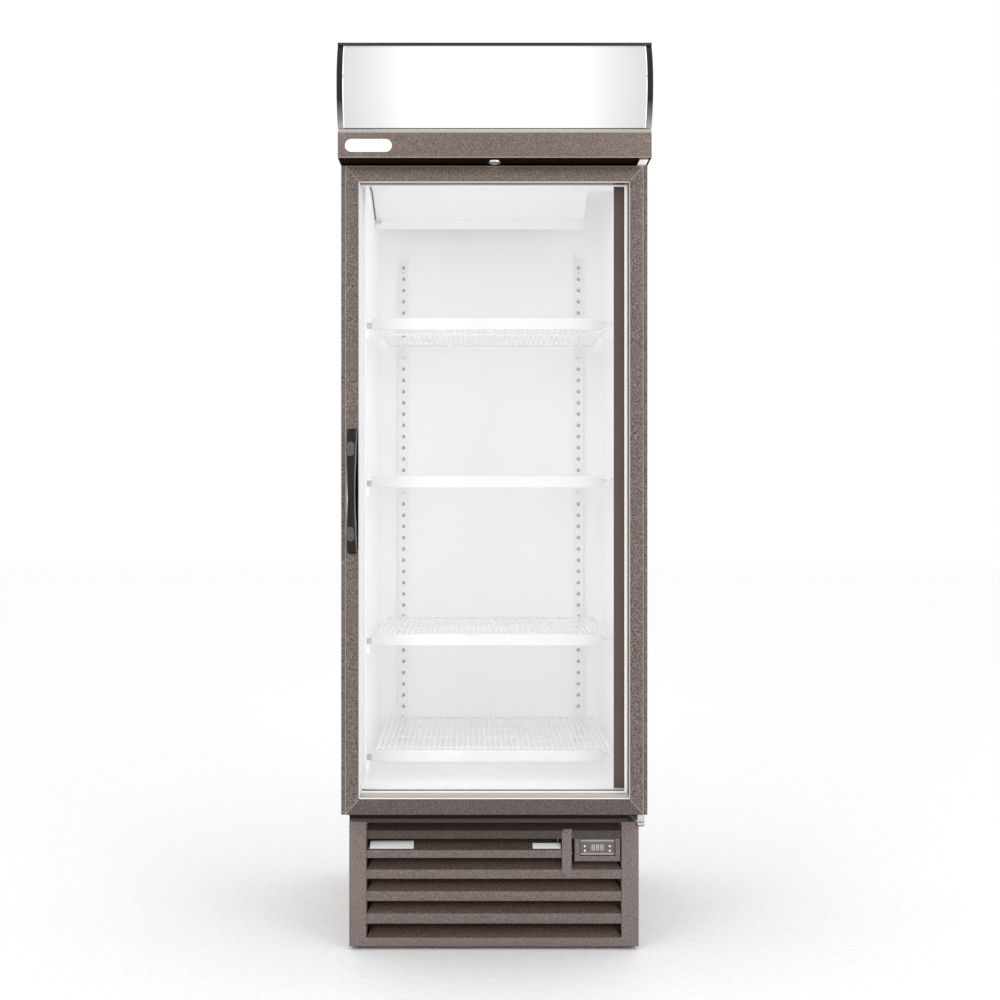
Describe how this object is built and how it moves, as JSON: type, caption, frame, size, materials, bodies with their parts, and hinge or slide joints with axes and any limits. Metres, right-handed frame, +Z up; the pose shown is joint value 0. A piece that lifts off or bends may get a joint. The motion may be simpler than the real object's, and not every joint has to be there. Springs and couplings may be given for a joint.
{
  "type": "glass door display refrigerator",
  "caption": "Upright reach-in display refrigerator: glass swing door, wire shelves, curved sign canopy, louvred grille and thermostat.",
  "frame": {"origin": "centre of the footprint's bounding box, on the floor", "axes": "+Z up, front faces -Y, hinges on the +X side"},
  "size_m": [0.654, 0.732, 1.926],
  "materials": {
    "hammertone_paint": "brown-grey hammertone, satin",
    "white_enamel": "smooth white enamel, satin",
    "white_liner": "smooth white thermoformed plastic, satin",
    "white_plastic": "white moulded plastic",
    "cream_plastic": "cream extruded plastic",
    "black_plastic": "black moulded plastic, semi-gloss",
    "grey_plastic": "grey-brown moulded plastic",
    "foam": "rigid polyurethane foam",
    "galvanised": "galvanised sheet, spangled",
    "zinc": "bright zinc plate",
    "aluminium": "mill finish",
    "black_steel": "black enamel",
    "copper": "drawn copper tube",
    "brass": "turned brass",
    "glass": "clear float glass",
    "opal_acrylic": "opal acrylic, lit from inside",
    "display": "smoked display window",
    "gasket_rubber": "soft magnetic gasket"
  },
  "bodies": {
    "cabinet": {"side_panels": "hammertone_paint", "top_panel": "hammertone_paint", "front_frame": "hammertone_paint", "canopy_housing": "hammertone_paint", "fascia": "hammertone_paint", "grille_frame": "hammertone_paint", "grille_louvres": "hammertone_paint", "thermostat_bezel": "hammertone_paint", "inner_liner": "white_liner", "pilasters": "white_enamel", "shelf_clips": "white_enamel", "shelf_1": "white_enamel", "shelf_2": "white_enamel", "shelf_3": "white_enamel", "shelf_4": "white_enamel", "evaporator_cover": "white_enamel", "lamp_channel": "white_enamel", "price_rails": "white_plastic", "label_plates": "white_plastic", "drip_tray": "white_plastic", "canopy_ends": "black_plastic", "levelling_feet": "black_plastic", "condensate_tray": "black_plastic", "cable_gland": "black_plastic", "thermostat_body": "grey_plastic", "electrical_box": "grey_plastic", "insulation": "foam", "back_panel": "galvanised", "underside_panel": "galvanised", "base_pan": "galvanised", "rear_guard": "galvanised", "fan_motors": "galvanised", "hinge_brackets": "zinc", "lock_body": "zinc", "evaporator_coil": "aluminium", "condenser": "aluminium", "compressor": "black_steel", "refrigerant_pipes": "copper", "filter_drier": "copper", "sign_panel": "opal_acrylic", "lamp_diffuser": "opal_acrylic", "led_tubes": "opal_acrylic", "thermostat_display": "display"},
    "door": {"door_stiles": "hammertone_paint", "door_rails": "hammertone_paint", "glazing_bead": "cream_plastic", "glass_panes": "glass", "glass_spacer": "aluminium", "gasket": "gasket_rubber", "handle": "black_plastic", "handle_caps": "grey_plastic", "hinge_bushes": "white_plastic"},
    "evaporator_fan": {"evaporator_fan": "black_plastic"},
    "condenser_fan": {"condenser_fan": "black_plastic"},
    "lock_plunger": {"lock_plunger": "zinc"},
    "lock_plug": {"lock_plug": "brass"},
    "button_set": {"button_set": "white_plastic"},
    "button_power": {"button_power": "white_plastic"},
    "button_up": {"button_up": "white_plastic"},
    "button_down": {"button_down": "white_plastic"}
  },
  "joints": [
    {"name": "door_hinge", "type": "hinge", "parent": "cabinet", "child": "door", "pos_m": [0.312, -0.268, 1], "axis": [0, 0, 1], "range_deg": [0, 100]},
    {"name": "evaporator_fan_spin", "type": "hinge", "parent": "cabinet", "child": "evaporator_fan", "pos_m": [0, 0.084, 1.719], "axis": [0, 1, 0], "continuous": true},
    {"name": "condenser_fan_spin", "type": "hinge", "parent": "cabinet", "child": "condenser_fan", "pos_m": [-0.02, -0.085, 0.14], "axis": [0, 1, 0], "continuous": true},
    {"name": "lock_push", "type": "slide", "parent": "cabinet", "child": "lock_plunger", "axis": [0, 0, -1], "range_m": [0, 0.012]},
    {"name": "lock_turn", "type": "hinge", "parent": "lock_plunger", "child": "lock_plug", "pos_m": [0, -0.309, 1.69], "axis": [0, 0, 1], "range_deg": [0, 90]},
    {"name": "press_set", "type": "slide", "parent": "cabinet", "child": "button_set", "axis": [0, 1, 0], "range_m": [0, 0.0008], "stiffness_N_per_m": 1500},
    {"name": "press_power", "type": "slide", "parent": "cabinet", "child": "button_power", "axis": [0, 1, 0], "range_m": [0, 0.0008], "stiffness_N_per_m": 1500},
    {"name": "press_up", "type": "slide", "parent": "cabinet", "child": "button_up", "axis": [0, 1, 0], "range_m": [0, 0.0008], "stiffness_N_per_m": 1500},
    {"name": "press_down", "type": "slide", "parent": "cabinet", "child": "button_down", "axis": [0, 1, 0], "range_m": [0, 0.0008], "stiffness_N_per_m": 1500}
  ]
}
